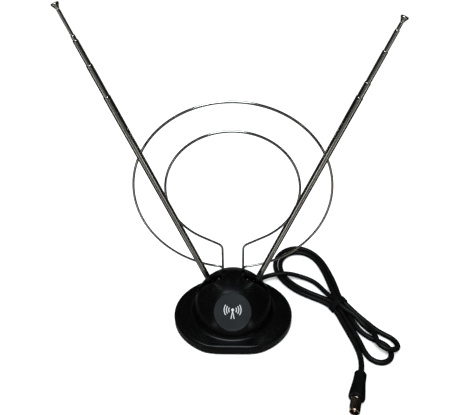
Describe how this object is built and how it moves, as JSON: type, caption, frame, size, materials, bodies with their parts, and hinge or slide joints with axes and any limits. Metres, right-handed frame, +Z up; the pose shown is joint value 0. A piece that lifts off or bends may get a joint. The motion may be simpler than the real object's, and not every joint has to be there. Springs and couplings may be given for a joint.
{
  "type": "rabbit ears antenna",
  "caption": "Indoor television antenna: hinged telescopic ears and round wire loops on a domed weighted base, with a tied coaxial lead and plug.",
  "frame": {"origin": "on the floor under the middle of the base, which is also the middle of the ears seen from above", "axes": "+X to the right seen from the badge side, +Y towards the back where the loops and the lead are, +Z up"},
  "size_m": [0.2885, 0.2221, 0.3113],
  "materials": {
    "black_plastic": "fine satin moulded surface",
    "badge_plastic": "smooth satin",
    "chrome": "bright plated, slightly warm",
    "zinc_steel": "zinc plated, dull",
    "nickel": "nickel plated, lightly worn",
    "brass": "machined",
    "rubber": "matte",
    "cord_jacket": "semi-gloss flexible vinyl",
    "insulator": "moulded",
    "laminate": "paper laminate",
    "ferrite": "sintered",
    "ballast": "as cast"
  },
  "bodies": {
    "base": {"badge_disc": "badge_plastic", "ballast_weight": "ballast", "balun_board": "laminate", "balun_core": "ferrite", "base_screw_1": "zinc_steel", "base_screw_2": "zinc_steel", "base_screw_3": "zinc_steel", "base_screw_4": "zinc_steel", "bottom_cover": "black_plastic", "cable_grommet": "rubber", "coax_inner_run": "cord_jacket", "cord_bundle": "cord_jacket", "cord_lead": "cord_jacket", "cord_lower_hank": "cord_jacket", "cord_tail": "cord_jacket", "cord_tie": "cord_jacket", "cord_upper_hank": "cord_jacket", "inner_loop": "chrome", "left_board_screw": "zinc_steel", "left_bracket_screw": "zinc_steel", "left_feed_wire": "cord_jacket", "left_loop_terminal": "brass", "left_pivot_bracket": "zinc_steel", "left_pivot_nut": "brass", "left_pivot_screw": "zinc_steel", "left_spring_washer": "zinc_steel", "left_terminal_screw": "zinc_steel", "outer_loop": "chrome", "plug_body": "rubber", "plug_insulator": "insulator", "plug_pin": "brass", "plug_sleeve": "nickel", "right_board_screw": "zinc_steel", "right_bracket_screw": "zinc_steel", "right_feed_wire": "cord_jacket", "right_loop_terminal": "brass", "right_pivot_bracket": "zinc_steel", "right_pivot_nut": "brass", "right_pivot_screw": "zinc_steel", "right_spring_washer": "zinc_steel", "right_terminal_screw": "zinc_steel", "rubber_foot_1": "rubber", "rubber_foot_2": "rubber", "rubber_foot_3": "rubber", "rubber_foot_4": "rubber", "top_cover": "black_plastic"},
    "left_ear": {"left_ear_knuckle": "zinc_steel", "left_tube_1": "chrome"},
    "left_section_2": {"left_tube_2": "chrome"},
    "left_section_3": {"left_tube_3": "chrome"},
    "left_section_4": {"left_tube_4": "chrome"},
    "left_tip": {"left_tip_rod": "chrome", "left_tip_cap": "chrome"},
    "right_ear": {"right_ear_knuckle": "zinc_steel", "right_tube_1": "chrome"},
    "right_section_2": {"right_tube_2": "chrome"},
    "right_section_3": {"right_tube_3": "chrome"},
    "right_section_4": {"right_tube_4": "chrome"},
    "right_tip": {"right_tip_rod": "chrome", "right_tip_cap": "chrome"}
  },
  "joints": [
    {"name": "left_ear_hinge", "type": "hinge", "parent": "base", "child": "left_ear", "pos_m": [-0.015, 0.009, 0.022], "axis": [0, -1, 0], "range_deg": [-20.25, 44.75]},
    {"name": "left_section_2_slide", "type": "slide", "parent": "left_ear", "child": "left_section_2", "axis": [-0.3461, 0, 0.9382], "range_m": [-0.0227, 0.1773]},
    {"name": "left_section_3_slide", "type": "slide", "parent": "left_section_2", "child": "left_section_3", "axis": [-0.3461, 0, 0.9382], "range_m": [-0.0158, 0.1802]},
    {"name": "left_section_4_slide", "type": "slide", "parent": "left_section_3", "child": "left_section_4", "axis": [-0.3461, 0, 0.9382], "range_m": [0, 0.192]},
    {"name": "left_tip_slide", "type": "slide", "parent": "left_section_4", "child": "left_tip", "axis": [-0.3461, 0, 0.9382], "range_m": [-0.0155, 0.1725]},
    {"name": "right_ear_hinge", "type": "hinge", "parent": "base", "child": "right_ear", "pos_m": [0.015, 0.009, 0.022], "axis": [0, 1, 0], "range_deg": [-20.65, 44.35]},
    {"name": "right_section_2_slide", "type": "slide", "parent": "right_ear", "child": "right_section_2", "axis": [0.3527, 0, 0.9358], "range_m": [-0.0087, 0.1913]},
    {"name": "right_section_3_slide", "type": "slide", "parent": "right_section_2", "child": "right_section_3", "axis": [0.3527, 0, 0.9358], "range_m": [-0.0215, 0.1745]},
    {"name": "right_section_4_slide", "type": "slide", "parent": "right_section_3", "child": "right_section_4", "axis": [0.3527, 0, 0.9358], "range_m": [-0.0124, 0.1796]},
    {"name": "right_tip_slide", "type": "slide", "parent": "right_section_4", "child": "right_tip", "axis": [0.3527, 0, 0.9358], "range_m": [-0.0018, 0.1862]}
  ]
}
